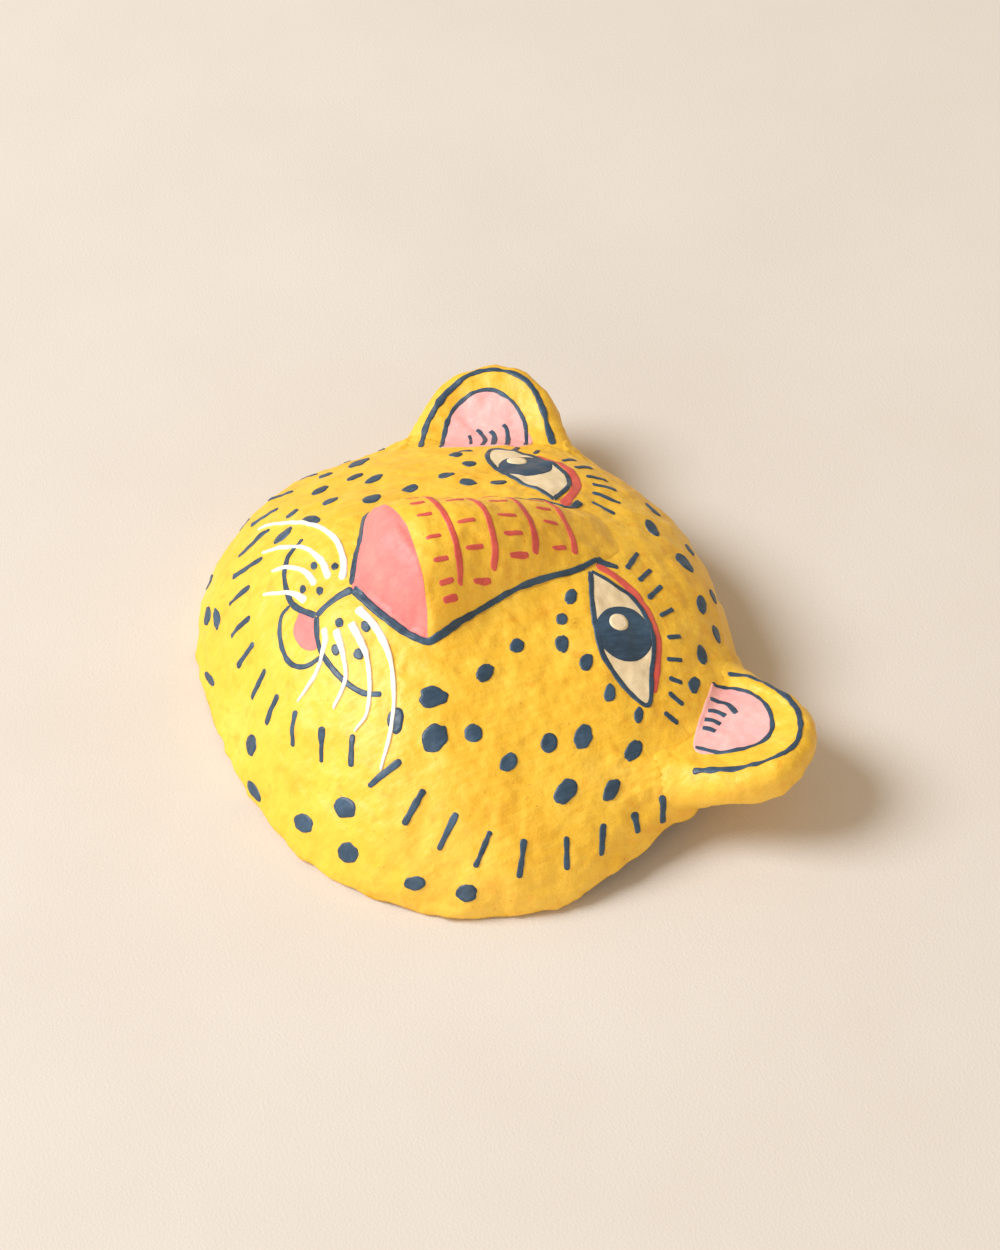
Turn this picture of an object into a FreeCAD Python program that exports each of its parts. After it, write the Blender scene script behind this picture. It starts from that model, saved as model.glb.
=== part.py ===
import FreeCAD, Part
import math
import os

os.makedirs("parts", exist_ok=True)

# A folk art mask of a spotted cat in laminated paper. Millimetres and degrees throughout.
# +Y runs to the forehead, +X to the wearer's left ear, +Z out of the face.
# The flat edge of the shell lies on z = 0.

# ---- driving dimensions: shell --------------------------------------------
HALF_WIDTH = 101.0          # rim, centre to side
FOREHEAD_LENGTH = 87.0      # rim, centre to the top of the forehead
CHIN_LENGTH = 85.0          # rim, centre to the bottom of the chin
DOME_HEIGHT = 63.0          # shell apex above the rim
FOUR_LOBE = -0.013          # slight squareness of the rim outline
THREE_LOBE = 0.011          # slight egg shape of the rim outline
APEX_SOFTNESS = 0.15        # rounds the apex of the shell
SHELL_THICKNESS = 3.5       # laminated paper wall
BAND_THICKNESS = 1.2        # folded paper strip glued inside the edge
BAND_HEIGHT = 14.0

# How the profile of the shell runs to the forehead, to the sides and to the chin.
OUTER_EXPONENTS = (0.86, 0.85, 2.58)
HEIGHT_EXPONENTS = (3.6, 2.15, 1.05)

# The edge is trimmed in a shallow arc on the left side, so it lifts there.
LIFT_ANGLE = 64.0           # from +Y towards +X
LIFT_HEIGHT = 11.0
LIFT_HALF_SPAN = 52.0

# ---- driving dimensions: nose ---------------------------------------------
NOSE_TIP_Y = -37.5          # lowest point of the pad on the centre line
NOSE_ARCH_Y = -20.0         # plane where the pad meets the bridge
NOSE_END_Y = 52.0           # where the bridge runs out on the forehead
NOSE_SKIN = 3.0             # paper skin of the hollow nose
NOSE_MARGIN = 0.6           # the nose is this much wider than its painted sides
NOSE_BURY = 1.5             # how deep its edge starts under the shell's surface
NOSE_FLOOR = 7.0            # how deep its sides run before the shell trims them
NOSE_TAPER = 1.4            # how much further the hollow stops short of the end
ARCH_POWER = 0.75           # roundness across the bridge
PAD_POWER = 0.85            # roundness of the pad from front to back
PAD_SLOPE = 0.5             # sideways run of the V under the pad
PAD_START = 1.2             # first section of the pad behind its tip
# (y, half the width) and (y, height over the shell) down the nose.
NOSE_WIDTHS = ((-24, 29), (-16, 27), (-8, 23.8), (3, 20.4), (13, 18.8), (23, 17.2), (32, 15.3), (40, 12.5), (52, 8))
NOSE_HEIGHTS = ((-20, 16.8), (-14, 17.6), (-7, 17), (8, 13.6), (24, 9.2), (36, 5.4), (46, 2.2), (52, 0.4))

BANK_WIDTH = 5.0            # pulp bank along the foot of the nose
BANK_HEIGHT = 3.6
BANK_MIN_HALF = 9.0         # the bank is never narrower than this
BANK_RUN_OUT = 14.0         # length over which it fades on the forehead
BANK_BURY = 0.8
BANK_FLOOR = 5.0
BANK_SHOULDER = 0.6         # share of the width where the bank turns

FORMER_THICKNESS = 2.0      # card ribs under the nose skin
RIB_PLACES = (-8.0, 12.0, 28.0)

# ---- driving dimensions: ears ---------------------------------------------
EAR_THICKNESS = 13.0
EAR_HALF_WIDTH = 25.5
EAR_LENGTH = 38.5           # root line to tip
EAR_ROUNDNESS = 2.3         # exponent of the outline
EAR_EDGE_RADIUS = 5.0
EAR_ROOT_DEPTH = 26.0       # how far the blank runs back before the shell trims it
CORE_THICKNESS = 2.0        # card blank inside each ear
CORE_INSET = 10.0
TAB_HALF_WIDTH = 11.0
TAB_REACH = 3.0             # how far a tab stands inside the shell
COLLAR_REACH = 8.0          # pulp collar where an ear meets the shell
COLLAR_END = 99.0           # distance from the centre where the collar has run out
COLLAR_SPREAD = 9.0         # how much wider than the ear it is at its root
COLLAR_DEPTH_SHARE = 0.7    # its spread before and behind the ear, as a share
COLLAR_TIP_SPREAD = 0.2
TAB_PATCH_THICKNESS = 1.5   # paper glued over the tab's end
TAB_PATCH_MARGIN = 5.0
TAB_PATCH_HALF_DEPTH = 7.0

# Each ear: side, angle from +Y, root radius, root height, tilt and roll.
# The ears are modelled by hand, so the two sides do not match.
EARS = {
    "left": (1, 51.5, 83.1, 27.7, 11.0, 1.0),
    "right": (-1, 63.4, 76.2, 26.5, 18.4, -6.5),
}

# ---- driving dimensions: hanger -------------------------------------------
WIRE_RADIUS = 0.9
WIRE_Z = 6.0                # height of the wire across the forehead
WIRE_MID_Y = 76.6           # where it crosses the centre line
WIRE_END_ANGLE = 27.0       # its two legs, from +Y
LEG_TOP_Z = 24.0
LEG_MIDDLE_Z = 16.0
LEG_GAP = 1.6               # wire centre to the shell's inner wall
CORNER_GAP = 1.9
RUN_SHARE = 0.75            # where the wire leaves the corner, as a share of x
PATCH_THICKNESS = 3.2       # paper glued over each leg
PATCH_HALF_WIDTH = 8.0
PATCH_LOW = 11.5
PATCH_HIGH = 27.0

# ---- how finely curves are drawn ------------------------------------------
RIM_POINTS = 32
DOME_LEVELS = (0.0, 0.09, 0.20, 0.32, 0.44, 0.56, 0.67, 0.77, 0.86, 0.93, 0.975)
NOSE_POINTS = 12
BRIDGE_STEPS = 9
PAD_STEPS = 6
BANK_STEPS = 11
EAR_POINTS = 12
FAR = 150.0                 # beyond every part


# ---- general shapes --------------------------------------------------------
def vector(x, y, z):
    return FreeCAD.Vector(x, y, z)


def block(x0, x1, y0, y1, z0, z1):
    return Part.makeBox(x1 - x0, y1 - y0, z1 - z0, vector(x0, y0, z0))


def largest(shape):
    """The main solid of a boolean result."""
    return max(shape.Solids, key=lambda solid: solid.Volume)


def read_table(table, y):
    """Straight-line reading of a short table."""
    if y <= table[0][0]:
        return table[0][1]
    for (y0, v0), (y1, v1) in zip(table, table[1:]):
        if y <= y1:
            return v0 + (v1 - v0) * (y - y0) / (y1 - y0)
    return table[-1][1]


def spread(first, last, steps):
    """Evenly spaced places from first to last."""
    return [first + (last - first) * i / steps for i in range(steps + 1)]


# ---- shell -----------------------------------------------------------------
def rim_radius(angle, inset=0.0):
    """Outline of the rim, angle in radians from +Y towards +X."""
    length = FOREHEAD_LENGTH if math.cos(angle) > 0 else CHIN_LENGTH
    across = math.sin(angle) / (HALF_WIDTH - inset)
    along = math.cos(angle) / (length - inset)
    lobes = 1 + FOUR_LOBE * math.cos(4 * angle)
    lobes += THREE_LOBE * (math.cos(3 * angle) - math.cos(angle))
    return lobes / math.hypot(across, along)


def exponent(angle, values):
    """A profile exponent that changes smoothly round the rim."""
    forehead, side, chin = values
    end = forehead if math.cos(angle) > 0 else chin
    return side + (end - side) * math.cos(angle) ** 2


def dome_reach(level, angle):
    """Share of the rim radius at a share of the height."""
    m = exponent(angle, OUTER_EXPONENTS)
    n = exponent(angle, HEIGHT_EXPONENTS)
    full = math.hypot(1, APEX_SOFTNESS)
    share = max(1 - level ** n, 0.0) ** (1 / m)
    reach = share * (full - APEX_SOFTNESS) + APEX_SOFTNESS
    return math.sqrt(max(reach ** 2 - APEX_SOFTNESS ** 2, 0.0))


def dome_z(x, y):
    """Height of the shell's outer surface."""
    angle = math.atan2(x, y)
    m = exponent(angle, OUTER_EXPONENTS)
    n = exponent(angle, HEIGHT_EXPONENTS)
    reach = min(math.hypot(x, y) / rim_radius(angle), 1.0)
    full = math.hypot(1, APEX_SOFTNESS)
    share = (math.hypot(reach, APEX_SOFTNESS) - APEX_SOFTNESS) / (full - APEX_SOFTNESS)
    return DOME_HEIGHT * max(1 - share ** m, 0.0) ** (1 / n)


def closed_curve(points):
    """A smooth closed edge with evenly spread parameters."""
    curve = Part.BSplineCurve()
    steps = spread(0.0, 1.0, len(points))
    curve.interpolate(Points=points, PeriodicFlag=True, Parameters=steps)
    return Part.Wire([curve.toShape()])


def dome(inset):
    """Solid under a dome that lies inset from the outer surface."""
    wires = []
    for level in DOME_LEVELS:
        points = []
        for i in range(RIM_POINTS):
            angle = 2 * math.pi * i / RIM_POINTS
            reach = rim_radius(angle, inset) * dome_reach(level, angle)
            z = (DOME_HEIGHT - inset) * level
            points.append(vector(reach * math.sin(angle), reach * math.cos(angle), z))
        wires.append(closed_curve(points))
    return Part.makeLoft(wires, True, False, False, 3)


def edge_arc():
    """Cylinder that trims the edge in a shallow arc."""
    angle = math.radians(LIFT_ANGLE)
    radius = (LIFT_HALF_SPAN ** 2 + LIFT_HEIGHT ** 2) / (2 * LIFT_HEIGHT)
    out = vector(math.sin(angle), math.cos(angle), 0)
    start = HALF_WIDTH / 2
    base = vector(out.x * start, out.y * start, LIFT_HEIGHT - radius)
    return Part.makeCylinder(radius, HALF_WIDTH, base, out)


# ---- nose ------------------------------------------------------------------
def nose_half_width(y, inset):
    return read_table(NOSE_WIDTHS, y) + NOSE_MARGIN - inset


def bridge_rise(x, y, inset):
    """Height of the bridge over the shell; it starts just under the shell."""
    share = max(1 - (x / nose_half_width(y, inset)) ** 2, 0.0)
    height = read_table(NOSE_HEIGHTS, y) - inset + NOSE_BURY
    return height * share ** ARCH_POWER - NOSE_BURY


def pad_rise(x, y, inset):
    """Height of the pad over the shell, from its V-shaped foot to the bridge."""
    front = NOSE_TIP_Y + inset + PAD_SLOPE * abs(x)
    share = (y - front) / (NOSE_ARCH_Y - front)
    share = min(max(share, 0.0), 1.0)
    full = bridge_rise(x, NOSE_ARCH_Y, inset) + NOSE_BURY
    return full * math.sin(share * math.pi / 2) ** PAD_POWER - NOSE_BURY


def nose_section(y, half, rise, inset):
    """Closed wire across the nose in the plane y."""
    top = []
    for i in range(NOSE_POINTS + 1):
        x = -half * math.cos(math.pi * i / NOSE_POINTS)
        top.append(vector(x, y, dome_z(x, y) + rise(x, y, inset)))
    curve = Part.BSplineCurve()
    curve.interpolate(Points=top, Parameters=spread(0.0, 1.0, NOSE_POINTS))
    floor = dome_z(half, y) - NOSE_FLOOR
    right = vector(half, y, floor)
    left = vector(-half, y, floor)
    edges = [curve.toShape()]
    for start, end in ((top[-1], right), (right, left), (left, top[0])):
        edges.append(Part.makeLine(start, end))
    return Part.Wire(edges)


def bridge_solid(inset):
    wires = []
    for y in spread(NOSE_ARCH_Y, NOSE_END_Y - NOSE_TAPER * inset, BRIDGE_STEPS):
        wires.append(nose_section(y, nose_half_width(y, inset), bridge_rise, inset))
    return Part.makeLoft(wires, True, False, False, 3)


def pad_solid(inset):
    wires = []
    tip = NOSE_TIP_Y + inset
    widest = nose_half_width(NOSE_ARCH_Y, inset)
    for y in spread(tip + PAD_START, NOSE_ARCH_Y, PAD_STEPS):
        half = min((y - tip) / PAD_SLOPE, widest)
        wires.append(nose_section(y, half, pad_rise, inset))
    return Part.makeLoft(wires, True, False, False, 3)


def bank_section(y):
    """Closed wire across the pulp bank in the plane y."""
    half = max(read_table(NOSE_WIDTHS, y), BANK_MIN_HALF)
    height = BANK_HEIGHT * min(1.0, (NOSE_END_Y + BANK_WIDTH - y) / BANK_RUN_OUT)
    shoulder = half + BANK_SHOULDER * BANK_WIDTH
    edge = half + BANK_WIDTH
    points = []
    for x in (-edge, -shoulder, -half, 0.0, half, shoulder, edge):
        share = min((edge - abs(x)) / BANK_WIDTH, 1.0)
        rise = share * (height + BANK_BURY) - BANK_BURY
        points.append(vector(x, y, dome_z(x, y) + rise))
    floor = dome_z(edge, y) - BANK_FLOOR
    points.append(vector(edge, y, floor))
    points.append(vector(-edge, y, floor))
    points.append(points[0])
    return Part.makePolygon(points)


def bank_solid():
    last = NOSE_END_Y + BANK_WIDTH - 1.0
    wires = [bank_section(y) for y in spread(NOSE_ARCH_Y, last, BANK_STEPS)]
    return Part.makeLoft(wires, True, False, False, 3)


def former_ribs():
    """One long rib and the cross ribs, before the hollow nose trims them."""
    half = FORMER_THICKNESS / 2
    ribs = block(-half, half, -FAR, FAR, 0, FAR)
    for y in RIB_PLACES:
        ribs = ribs.fuse(block(-FAR, FAR, y - half, y + half, 0, FAR))
    return ribs


# ---- ears ------------------------------------------------------------------
def ear_placement(key):
    """Placement with X across the ear, Y towards its tip and Z out of its face."""
    side, angle, root, height, tilt, roll = EARS[key]
    a = math.radians(angle)
    t = math.radians(tilt)
    r = math.radians(roll)
    out = vector(math.sin(a) * math.cos(t), math.cos(a) * math.cos(t), math.sin(t))
    across = vector(math.cos(a), -math.sin(a), 0.0)
    across = across * math.cos(r) + across.cross(out) * math.sin(r)
    normal = across.cross(out)
    base = vector(math.sin(a) * root, math.cos(a) * root, height)
    return FreeCAD.Placement(FreeCAD.Matrix(
        across.x, out.x, normal.x, base.x,
        across.y, out.y, normal.y, base.y,
        across.z, out.z, normal.z, base.z,
        0, 0, 0, 1))


def place(shape, key):
    """Moves a shape from the ear's own frame to its place on the mask."""
    moved = shape.copy()
    moved.Placement = ear_placement(key).multiply(moved.Placement)
    if EARS[key][0] < 0:
        return moved.mirror(vector(0, 0, 0), vector(1, 0, 0))
    return moved


def ear_outline(half, length, back):
    """Flat rounded outline that runs back parallel behind the root."""
    power = 2 / EAR_ROUNDNESS
    points = []
    for i in range(EAR_POINTS + 1):
        c = math.cos(math.pi * i / EAR_POINTS)
        s = math.sin(math.pi * i / EAR_POINTS)
        points.append(vector(math.copysign(abs(c) ** power, c) * half, abs(s) ** power * length, 0))
    curve = Part.BSplineCurve()
    curve.interpolate(Points=points, InitialTangent=vector(0, 1, 0), FinalTangent=vector(0, -1, 0))
    corners = [points[-1], points[0]]
    if back > 0:
        corners = [points[-1], vector(-half, -back, 0), vector(half, -back, 0), points[0]]
    edges = [curve.toShape()]
    for a, b in zip(corners, corners[1:]):
        edges.append(Part.makeLine(a, b))
    return Part.Face(Part.Wire(edges))


def slab(face, low, high):
    """The outline extruded between two heights of the ear frame."""
    solid = face.extrude(vector(0, 0, high - low))
    solid.translate(vector(0, 0, low))
    return solid


def ear_body():
    """Slab with its edges rounded, except at the root end."""
    outline = ear_outline(EAR_HALF_WIDTH, EAR_LENGTH, EAR_ROOT_DEPTH)
    solid = slab(outline, -EAR_THICKNESS, 0.0)
    picked = []
    for edge in solid.Edges:
        flat = edge.BoundBox.ZLength < 0.01
        at_root = edge.BoundBox.YMax < 0.01 - EAR_ROOT_DEPTH
        if flat and not at_root:
            picked.append(edge)
    return solid.makeFillet(EAR_EDGE_RADIUS, picked)


def ear_collar(key):
    """Block that narrows from the root to the size of the ear."""
    wires = []
    end = COLLAR_END - EARS[key][2]
    for y, wider in ((-EAR_ROOT_DEPTH, COLLAR_SPREAD), (end, COLLAR_TIP_SPREAD)):
        half = EAR_HALF_WIDTH + wider
        low = -EAR_THICKNESS - wider * COLLAR_DEPTH_SHARE
        high = wider * COLLAR_DEPTH_SHARE
        corners = ((-half, low), (half, low), (half, high), (-half, high), (-half, low))
        wires.append(Part.makePolygon([vector(x, y, z) for x, z in corners]))
    return Part.makeLoft(wires, True, True)


def ear_core():
    """Card blank with a tab that goes through the shell."""
    low = -EAR_THICKNESS / 2 - CORE_THICKNESS / 2
    high = low + CORE_THICKNESS
    outline = ear_outline(EAR_HALF_WIDTH - CORE_INSET, EAR_LENGTH - CORE_INSET, 0.0)
    tab = block(-TAB_HALF_WIDTH, TAB_HALF_WIDTH, -EAR_ROOT_DEPTH, 1.0, low, high)
    return slab(outline, low, high).fuse(tab).removeSplitter()


def tab_patch_block():
    half = TAB_HALF_WIDTH + TAB_PATCH_MARGIN
    low = -EAR_THICKNESS / 2 - TAB_PATCH_HALF_DEPTH
    high = -EAR_THICKNESS / 2 + TAB_PATCH_HALF_DEPTH
    return block(-half, half, -EAR_ROOT_DEPTH - TAB_PATCH_MARGIN - 1, 4, low, high)


# ---- hanging wire ----------------------------------------------------------
def wall_point(z, gap):
    """A point of the wire's leg, a gap inside the shell's inner wall."""
    angle = math.radians(WIRE_END_ANGLE)
    level = z / (DOME_HEIGHT - SHELL_THICKNESS)
    reach = rim_radius(angle, SHELL_THICKNESS) * dome_reach(level, angle) - gap
    return vector(reach * math.sin(angle), reach * math.cos(angle), z)


def hanging_wire():
    """Round wire down one leg, across the forehead and up the other leg."""
    corner = wall_point(WIRE_Z, CORNER_GAP)
    run = vector(corner.x * RUN_SHARE, (corner.y + WIRE_MID_Y) / 2, WIRE_Z)
    left_half = [wall_point(LEG_TOP_Z, LEG_GAP), wall_point(LEG_MIDDLE_Z, LEG_GAP), corner, run]
    right_half = [vector(-p.x, p.y, p.z) for p in reversed(left_half)]
    spine = Part.BSplineCurve()
    spine.buildFromPoles(left_half + [vector(0, WIRE_MID_Y, WIRE_Z)] + right_half, False, 3)
    start = spine.value(spine.FirstParameter)
    direction = spine.tangent(spine.FirstParameter)[0]
    ring = Part.Wire([Part.makeCircle(WIRE_RADIUS, start, direction)])
    return Part.Wire([spine.toShape()]).makePipeShell([ring], True, True)


def leg_patch_block(side):
    middle = side * wall_point(LEG_MIDDLE_Z, LEG_GAP).x
    return block(middle - PATCH_HALF_WIDTH, middle + PATCH_HALF_WIDTH, HALF_WIDTH / 2, FAR, PATCH_LOW, PATCH_HIGH)


# ---- build every part ------------------------------------------------------
parts = {}
outer = dome(0.0)
inner = dome(SHELL_THICKNESS)
ear_grow = dome(-COLLAR_REACH)
tab_floor = dome(SHELL_THICKNESS + TAB_REACH)
patch_floor = dome(SHELL_THICKNESS + TAB_REACH + TAB_PATCH_THICKNESS)

shell = outer.cut(inner)
for key in EARS:
    core = largest(place(ear_core(), key).cut(tab_floor))
    body = place(ear_body(), key)
    collar = place(ear_collar(key), key).common(ear_grow)
    patch = place(tab_patch_block(), key).common(inner)
    parts["ear_core_" + key] = core
    parts["ear_" + key] = largest(body.cut(outer).cut(core))
    parts["ear_fillet_" + key] = largest(collar.cut(outer).cut(body))
    parts["ear_tab_patch_" + key] = largest(patch.cut(patch_floor).cut(core))
    shell = shell.cut(core)
parts["face_shell"] = largest(shell.cut(edge_arc()))

band = inner.common(block(-FAR, FAR, -FAR, FAR, 0, BAND_HEIGHT))
band = band.cut(dome(SHELL_THICKNESS + BAND_THICKNESS))
parts["rim_band"] = largest(band.cut(edge_arc()))

bridge_outer = bridge_solid(0.0)
bridge_inner = bridge_solid(NOSE_SKIN)
parts["nose_bridge"] = largest(bridge_outer.cut(bridge_inner).cut(outer))
parts["nose_pad"] = largest(pad_solid(0.0).cut(pad_solid(NOSE_SKIN)).cut(outer))
parts["nose_former"] = largest(bridge_inner.cut(outer).common(former_ribs()))
parts["nose_fillet"] = largest(bank_solid().cut(bridge_outer).cut(outer))

wire = hanging_wire()
parts["hanger_wire"] = wire
leg_floor = dome(SHELL_THICKNESS + PATCH_THICKNESS)
for name, side in (("left", 1), ("right", -1)):
    patch = leg_patch_block(side).common(inner).cut(leg_floor)
    parts["hanger_patch_" + name] = largest(patch.cut(band).cut(wire))

# ---- centre the whole mask over the origin and write every part ------------
box = FreeCAD.BoundBox()
for shape in parts.values():
    box.add(shape.optimalBoundingBox(False))
shift = vector(-(box.XMin + box.XMax) / 2, -(box.YMin + box.YMax) / 2, 0)
for name, shape in sorted(parts.items()):
    moved = shape.copy()
    moved.translate(shift)
    moved.exportStep("parts/" + name + ".step")
    print(name, "valid", moved.isValid(), "solids", len(moved.Solids), "cm3", round(moved.Volume / 1000, 2))
print("size", round(box.XLength, 2), round(box.YLength, 2), round(box.ZLength, 2))
print("shift", round(shift.x, 3), round(shift.y, 3))
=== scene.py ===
"""The painted paper mask of a spotted cat. Shapes are worked out in millimetres in the mask's own
frame, as in the CAD: +Y to the forehead, +X to the wearer's left ear, +Z out of the face, with the
rim's centre as the origin. to_frame() moves finished points to the CAD frame in metres."""
from math import atan2, copysign, cos, hypot, pi, radians, sin, sqrt
import bpy
import numpy as np
from mathutils import Matrix, Vector, noise
from mathutils.bvhtree import BVHTree


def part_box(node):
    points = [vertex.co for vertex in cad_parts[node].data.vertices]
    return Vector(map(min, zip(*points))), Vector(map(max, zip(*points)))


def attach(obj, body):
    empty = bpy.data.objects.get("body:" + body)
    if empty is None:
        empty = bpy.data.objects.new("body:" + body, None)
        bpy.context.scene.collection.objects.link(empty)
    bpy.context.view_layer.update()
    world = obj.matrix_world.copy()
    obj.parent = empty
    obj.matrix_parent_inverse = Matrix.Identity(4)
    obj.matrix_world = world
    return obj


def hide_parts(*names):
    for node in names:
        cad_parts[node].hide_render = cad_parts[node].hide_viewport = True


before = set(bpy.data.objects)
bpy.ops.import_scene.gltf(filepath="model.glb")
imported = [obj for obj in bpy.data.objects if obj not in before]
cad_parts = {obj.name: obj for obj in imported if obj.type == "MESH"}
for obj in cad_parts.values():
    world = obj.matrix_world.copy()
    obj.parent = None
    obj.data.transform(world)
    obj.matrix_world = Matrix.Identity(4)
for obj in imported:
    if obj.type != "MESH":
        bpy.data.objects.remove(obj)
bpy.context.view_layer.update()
MM = 0.001

# ---- driving dimensions, the same as the CAD's
HALF_WIDTH = 101.0
FOREHEAD_LENGTH = 87.0
CHIN_LENGTH = 85.0
DOME_HEIGHT = 63.0
FOUR_LOBE = -0.013
THREE_LOBE = 0.011
APEX_SOFTNESS = 0.15
SHELL_THICKNESS = 3.5
OUTER_EXPONENTS = (0.86, 0.85, 2.58)
HEIGHT_EXPONENTS = (3.6, 2.15, 1.05)
LIFT_ANGLE = 64.0
LIFT_HEIGHT = 11.0
LIFT_HALF_SPAN = 52.0

NOSE_TIP_Y = -37.5
NOSE_ARCH_Y = -20.0
NOSE_MARGIN = 0.6
ARCH_POWER = 0.75
PAD_POWER = 0.85
PAD_SLOPE = 0.5
# (y, half the width) and (y, height over the shell) down the nose.
NOSE_WIDTHS = (
    (-24, 29), (-16, 27), (-8, 23.8), (3, 20.4), (13, 18.8), (23, 17.2), (32, 15.3), (40, 12.5), (52, 8),
)
NOSE_HEIGHTS = ((-20, 16.8), (-14, 17.6), (-7, 17), (8, 13.6), (24, 9.2), (36, 5.4), (46, 2.2), (52, 0.4))

EAR_THICKNESS = 13.0
EAR_HALF_WIDTH = 25.5
EAR_LENGTH = 38.5
EAR_ROUNDNESS = 2.3
EAR_EDGE_RADIUS = 5.0
EAR_ROOT_DEPTH = 26.0
# Each ear: side, angle from +Y, root radius, root height, tilt and roll.
EARS = {
    "left": (1, 51.5, 83.1, 27.7, 11.0, 1.0),
    "right": (-1, 63.4, 76.2, 26.5, 18.4, -6.5),
}


# ---- the shell's surface
PROFILE_POINTS = 500


def rim_radius(angle, inset=0.0):
    """Outline of the rim, angle in radians from +Y towards +X."""
    length = np.where(np.cos(angle) > 0, FOREHEAD_LENGTH, CHIN_LENGTH)
    across = np.sin(angle) / (HALF_WIDTH - inset)
    along = np.cos(angle) / (length - inset)
    lobes = 1 + FOUR_LOBE * np.cos(4 * angle)
    lobes = lobes + THREE_LOBE * (np.cos(3 * angle) - np.cos(angle))
    return lobes / np.hypot(across, along)


def exponent(angle, values):
    """Runs from the side's value to the forehead's or the chin's."""
    forehead, side, chin = values
    end = np.where(np.cos(angle) > 0, forehead, chin)
    return side + (end - side) * np.cos(angle) ** 2


def dome_height(x, y, inset=0.0):
    """Height of the smooth shell at a place, or of its inner wall with an inset."""
    angle = np.arctan2(x, y)
    m = exponent(angle, OUTER_EXPONENTS)
    n = exponent(angle, HEIGHT_EXPONENTS)
    reach = np.minimum(np.hypot(x, y) / rim_radius(angle, inset), 1.0)
    full = hypot(1, APEX_SOFTNESS)
    share = (np.hypot(reach, APEX_SOFTNESS) - APEX_SOFTNESS) / (full - APEX_SOFTNESS)
    return (DOME_HEIGHT - inset) * np.maximum(1 - share ** m, 0.0) ** (1 / n)


def profile(angle, inset=0.0, lowest=0.0):
    """Points (reach, height) from the apex down to the edge, and the length run at each."""
    share = np.sin(np.linspace(0, pi / 2, PROFILE_POINTS))
    reach = share * rim_radius(angle, inset)
    height = dome_height(reach * sin(angle), reach * cos(angle), inset)
    run = np.concatenate(([0.0], np.cumsum(np.hypot(np.diff(reach), np.diff(height)))))
    if lowest > 0:
        end = np.interp(-lowest, -height, run)
        kept = run < end
        reach = np.append(reach[kept], np.interp(end, run, reach))
        height = np.append(height[kept], lowest)
        run = np.append(run[kept], end)
    return reach, height, run


def profile_rows(angle, count, inset=0.0, lowest=0.0):
    """Radii and heights evenly spaced down the profile, without the apex."""
    reach, height, run = profile(angle, inset, lowest)
    stops = np.linspace(0, run[-1], count + 1)[1:]
    return np.interp(stops, run, reach), np.interp(stops, run, height)


def edge_height(angle):
    """The edge is trimmed in a shallow arc on the left side."""
    radius = (LIFT_HALF_SPAN ** 2 + LIFT_HEIGHT ** 2) / (2 * LIFT_HEIGHT)
    turn = angle - radians(LIFT_ANGLE)
    offset = float(rim_radius(angle)) * sin(turn)
    if cos(turn) < 0 or abs(offset) > LIFT_HALF_SPAN:
        return 0.0
    return sqrt(radius ** 2 - offset ** 2) - (radius - LIFT_HEIGHT)


# ---- the nose's surface
def read_table(table, y):
    return np.interp(y, [row[0] for row in table], [row[1] for row in table])


def bridge_rise(x, y):
    half = read_table(NOSE_WIDTHS, y) + NOSE_MARGIN
    share = np.maximum(1 - (x / half) ** 2, 0.0)
    return read_table(NOSE_HEIGHTS, y) * share ** ARCH_POWER


def pad_rise(x, y):
    front = NOSE_TIP_Y + PAD_SLOPE * np.abs(x)
    share = np.clip((y - front) / (NOSE_ARCH_Y - front), 0.0, 1.0)
    return bridge_rise(x, NOSE_ARCH_Y) * np.sin(share * pi / 2) ** PAD_POWER


def nose_rise(x, y):
    return np.where(y < NOSE_ARCH_Y, pad_rise(x, y), bridge_rise(x, y))


# ---- meshes
def rim_origin():
    """The rim's centre in the CAD frame, in millimetres."""
    low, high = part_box("face_shell")
    x = (low.x + high.x) / 2 / MM
    y = high.y / MM - float(rim_radius(0.0))
    return np.array((x, y, 0.0))


ORIGIN = rim_origin()


def to_frame(points):
    return (np.asarray(points, float) + ORIGIN) * MM


def make_piece(name, points, faces, material, slot, replaced=()):
    """One named mesh from points in millimetres; it rides on the mask's body."""
    mesh = bpy.data.meshes.new(name)
    mesh.from_pydata(to_frame(points).tolist(), [], faces)
    mesh.validate()
    mesh.polygons.foreach_set("use_smooth", [True] * len(mesh.polygons))
    mesh.materials.append(material)
    mesh.update()
    piece = bpy.data.objects.new(name, mesh)
    bpy.context.scene.collection.objects.link(piece)
    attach(piece, "root")
    if replaced:
        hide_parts(*replaced)


def grid_faces(rows, columns, closed=False, start=0):
    """Quads between rows of points; closed joins the last column to the first."""
    faces = []
    for r in range(rows - 1):
        for c in range(columns if closed else columns - 1):
            d = (c + 1) % columns
            a = start + r * columns
            b = a + columns
            faces.append((a + c, b + c, b + d, a + d))
    return faces


def close_ends(points, faces, rows, columns, first, last):
    """Fans from a hub to the first row of a closed grid, and from the last row to another hub."""
    hub = len(points)
    start = (rows - 1) * columns
    for c in range(columns):
        d = (c + 1) % columns
        faces.append((hub, c, d))
        faces.append((start + d, start + c, hub + 1))
    points = np.vstack((points, [first], [last]))
    if signed_volume(points, faces) < 0:
        faces = [tuple(reversed(f)) for f in faces]
    return points, faces


def signed_volume(points, faces):
    total = 0.0
    for f in faces:
        a = points[f[0]]
        for b, c in zip(f[1:], f[2:]):
            total += float(np.dot(a, np.cross(points[b], points[c])))
    return total


def joined(meshes):
    """Several (points, faces) as one."""
    points, faces, start = [], [], 0
    for p, f in meshes:
        points.append(p)
        faces += [tuple(i + start for i in face) for face in f]
        start += len(p)
    return np.vstack(points), faces


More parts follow.
